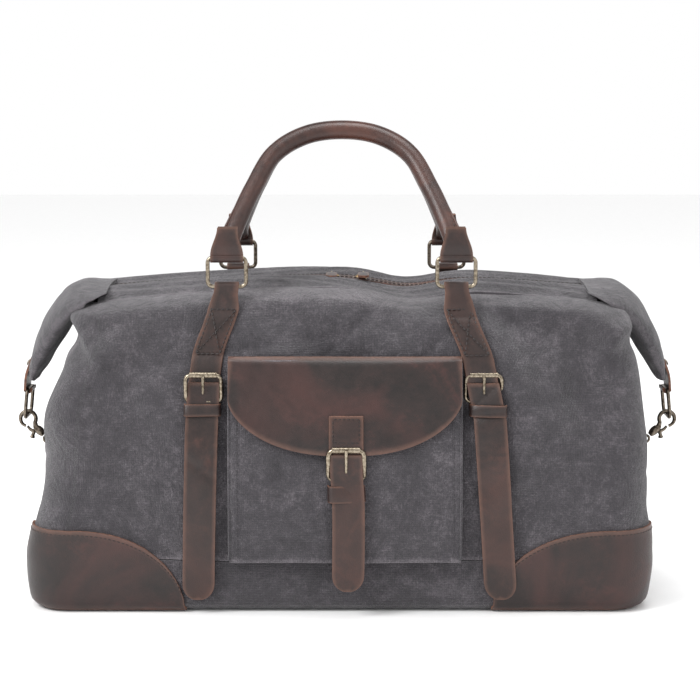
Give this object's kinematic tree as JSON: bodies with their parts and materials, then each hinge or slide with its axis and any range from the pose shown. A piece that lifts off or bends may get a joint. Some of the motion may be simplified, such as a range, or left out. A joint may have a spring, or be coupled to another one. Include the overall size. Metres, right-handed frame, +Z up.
{
  "type": "travel bag",
  "caption": "Filled canvas and leather weekender bag with zipped mouth, strapped front pocket, folded end ears on snap hooks and carry handles.",
  "frame": {"origin": "middle of the base on the floor", "axes": "+X to the bag's right as seen from the pocket side, -Y out of the pocket side, +Z up"},
  "size_m": [0.608, 0.2597, 0.4253],
  "materials": {
    "canvas": "washed canvas",
    "base_canvas": "washed canvas",
    "lining": "plain woven polyester",
    "stiffener": "matt",
    "leather": "waxed pull-up leather",
    "handle_leather": "waxed pull-up leather",
    "hardware": "antique brushed"
  },
  "bodies": {
    "bag": {"base_tray": "base_canvas", "base_board": "stiffener", "lining": "lining", "front_panel": "canvas", "rear_panel": "canvas", "left_gusset": "canvas", "right_gusset": "canvas", "patch_front_left": "leather", "patch_front_right": "leather", "patch_rear_left": "leather", "patch_rear_right": "leather", "front_pocket": "canvas", "front_strap_left": "leather", "front_strap_right": "leather", "rear_strap_left": "leather", "rear_strap_right": "leather", "buckle_left": "hardware", "buckle_right": "hardware", "keeper_left": "leather", "keeper_right": "leather", "strap_tail_left": "leather", "strap_tail_right": "leather", "left_side_tab": "leather", "right_side_tab": "leather"},
    "front_mouth": {"front_lip": "canvas", "front_zip": "hardware"},
    "rear_mouth": {"rear_lip": "canvas", "rear_zip": "hardware"},
    "left_slider": {"slider_left": "hardware"},
    "right_slider": {"slider_right": "hardware"},
    "left_pull": {"zip_pull_left": "leather"},
    "right_pull": {"zip_pull_right": "leather"},
    "front_rings": {"front_ring_left": "hardware", "front_ring_right": "hardware"},
    "rear_rings": {"rear_ring_left": "hardware", "rear_ring_right": "hardware"},
    "front_carry": {"front_handle": "handle_leather"},
    "rear_carry": {"rear_handle": "handle_leather"},
    "flap": {"pocket_flap": "leather", "flap_tab": "leather", "flap_buckle": "hardware", "flap_keeper": "leather", "flap_tail": "leather"},
    "centre_prong": {"flap_prong": "hardware"},
    "left_prong": {"prong_left": "hardware"},
    "right_prong": {"prong_right": "hardware"},
    "left_ear_wing": {"left_ear": "canvas", "left_ear_tab": "leather"},
    "left_ear_loop": {"left_ear_ring": "hardware"},
    "left_snap": {"left_hook": "hardware"},
    "left_gate": {"left_trigger": "hardware"},
    "left_eye": {"left_swivel": "hardware"},
    "left_wall_ring": {"left_side_ring": "hardware"},
    "right_ear_wing": {"right_ear": "canvas", "right_ear_tab": "leather"},
    "right_ear_loop": {"right_ear_ring": "hardware"},
    "right_snap": {"right_hook": "hardware"},
    "right_gate": {"right_trigger": "hardware"},
    "right_eye": {"right_swivel": "hardware"},
    "right_wall_ring": {"right_side_ring": "hardware"}
  },
  "joints": [
    {"name": "front_mouth_open", "type": "hinge", "parent": "bag", "child": "front_mouth", "pos_m": [0, -0.0556, 0.2818], "axis": [1, 0, 0], "range_deg": [0, 75]},
    {"name": "rear_mouth_open", "type": "hinge", "parent": "bag", "child": "rear_mouth", "pos_m": [0, 0.0556, 0.2818], "axis": [-1, 0, 0], "range_deg": [0, 75]},
    {"name": "left_slider_run", "type": "slide", "parent": "front_mouth", "child": "left_slider", "axis": [-1, 0, 0], "range_m": [0, 0.19]},
    {"name": "right_slider_run", "type": "slide", "parent": "front_mouth", "child": "right_slider", "axis": [1, 0, 0], "range_m": [0, 0.19]},
    {"name": "left_pull_swing", "type": "hinge", "parent": "left_slider", "child": "left_pull", "pos_m": [-0.0035, 0, 0.288], "axis": [-1, 0, 0], "range_deg": [0, 160]},
    {"name": "right_pull_swing", "type": "hinge", "parent": "right_slider", "child": "right_pull", "pos_m": [0.0185, 0, 0.288], "axis": [-1, 0, 0], "range_deg": [0, 160]},
    {"name": "front_rings_tilt", "type": "hinge", "parent": "bag", "child": "front_rings", "pos_m": [0, -0.0867, 0.2845], "axis": [1, 0, 0], "range_deg": [0, 40]},
    {"name": "rear_rings_tilt", "type": "hinge", "parent": "bag", "child": "rear_rings", "pos_m": [0, 0.0867, 0.2845], "axis": [-1, 0, 0], "range_deg": [0, 40]},
    {"name": "front_handle_fall", "type": "hinge", "parent": "front_rings", "child": "front_carry", "pos_m": [0.0025, -0.0867, 0.3099], "axis": [1, 0, 0], "range_deg": [0, 95]},
    {"name": "rear_handle_fall", "type": "hinge", "parent": "rear_rings", "child": "rear_carry", "pos_m": [0.0025, 0.0867, 0.3099], "axis": [-1, 0, 0], "range_deg": [0, 95]},
    {"name": "pocket_flap_lift", "type": "hinge", "parent": "bag", "child": "flap", "pos_m": [0.0055, -0.11216, 0.2262], "axis": [-1, 0, 0], "range_deg": [0, 100]},
    {"name": "centre_prong_lift", "type": "hinge", "parent": "flap", "child": "centre_prong", "pos_m": [0.0065, -0.13643, 0.1482], "axis": [-1, 0, 0], "range_deg": [0, 120]},
    {"name": "left_prong_lift", "type": "hinge", "parent": "bag", "child": "left_prong", "pos_m": [-0.11708, -0.11576, 0.2102], "axis": [-1, 0, 0], "range_deg": [0, 120]},
    {"name": "right_prong_lift", "type": "hinge", "parent": "bag", "child": "right_prong", "pos_m": [0.1255, -0.11576, 0.2102], "axis": [-1, 0, 0], "range_deg": [0, 120]},
    {"name": "left_ear_lift", "type": "hinge", "parent": "bag", "child": "left_ear_wing", "pos_m": [-0.2305, 0, 0.2842], "axis": [0, 1, 0], "range_deg": [0, 85]},
    {"name": "left_ear_ring_swing", "type": "hinge", "parent": "left_ear_wing", "child": "left_ear_loop", "pos_m": [-0.2855, 0, 0.1815], "axis": [0, 1, 0], "range_deg": [0, 45]},
    {"name": "left_hook_swing", "type": "hinge", "parent": "left_ear_loop", "child": "left_snap", "pos_m": [-0.288, 0, 0.156], "axis": [0, 1, 0], "range_deg": [0, 60]},
    {"name": "left_trigger_press", "type": "hinge", "parent": "left_snap", "child": "left_gate", "pos_m": [-0.2832, 0, 0.14022], "axis": [0, 1, 0], "range_deg": [0, 25], "stiffness_Nm_per_rad": 0.02},
    {"name": "left_eye_turn", "type": "hinge", "parent": "left_snap", "child": "left_eye", "pos_m": [-0.27069, 0, 0.1335], "axis": [0.6956, 0, -0.7184], "continuous": true},
    {"name": "left_wall_ring_swing", "type": "hinge", "parent": "bag", "child": "left_wall_ring", "pos_m": [-0.26541, 0, 0.1215], "axis": [0, 1, 0], "range_deg": [0, 10]},
    {"name": "right_ear_lift", "type": "hinge", "parent": "bag", "child": "right_ear_wing", "pos_m": [0.2455, 0, 0.2842], "axis": [0, -1, 0], "range_deg": [0, 85]},
    {"name": "right_ear_ring_swing", "type": "hinge", "parent": "right_ear_wing", "child": "right_ear_loop", "pos_m": [0.3005, 0, 0.1815], "axis": [0, -1, 0], "range_deg": [0, 45]},
    {"name": "right_hook_swing", "type": "hinge", "parent": "right_ear_loop", "child": "right_snap", "pos_m": [0.303, 0, 0.156], "axis": [0, -1, 0], "range_deg": [0, 60]},
    {"name": "right_trigger_press", "type": "hinge", "parent": "right_snap", "child": "right_gate", "pos_m": [0.29702, 0, 0.14022], "axis": [0, -1, 0], "range_deg": [0, 25], "stiffness_Nm_per_rad": 0.02},
    {"name": "right_eye_turn", "type": "hinge", "parent": "right_snap", "child": "right_eye", "pos_m": [0.28371, 0, 0.1335], "axis": [-0.6956, 0, -0.7184], "continuous": true},
    {"name": "right_wall_ring_swing", "type": "hinge", "parent": "bag", "child": "right_wall_ring", "pos_m": [0.27699, 0, 0.1215], "axis": [0, -1, 0], "range_deg": [0, 10]}
  ],
  "couplings": [
    {"joint": "rear_mouth_open", "follows": "front_mouth_open", "ratio": 1},
    {"joint": "left_slider_run", "follows": "front_mouth_open", "m_per_rad": 0.145},
    {"joint": "right_slider_run", "follows": "front_mouth_open", "m_per_rad": 0.145}
  ]
}
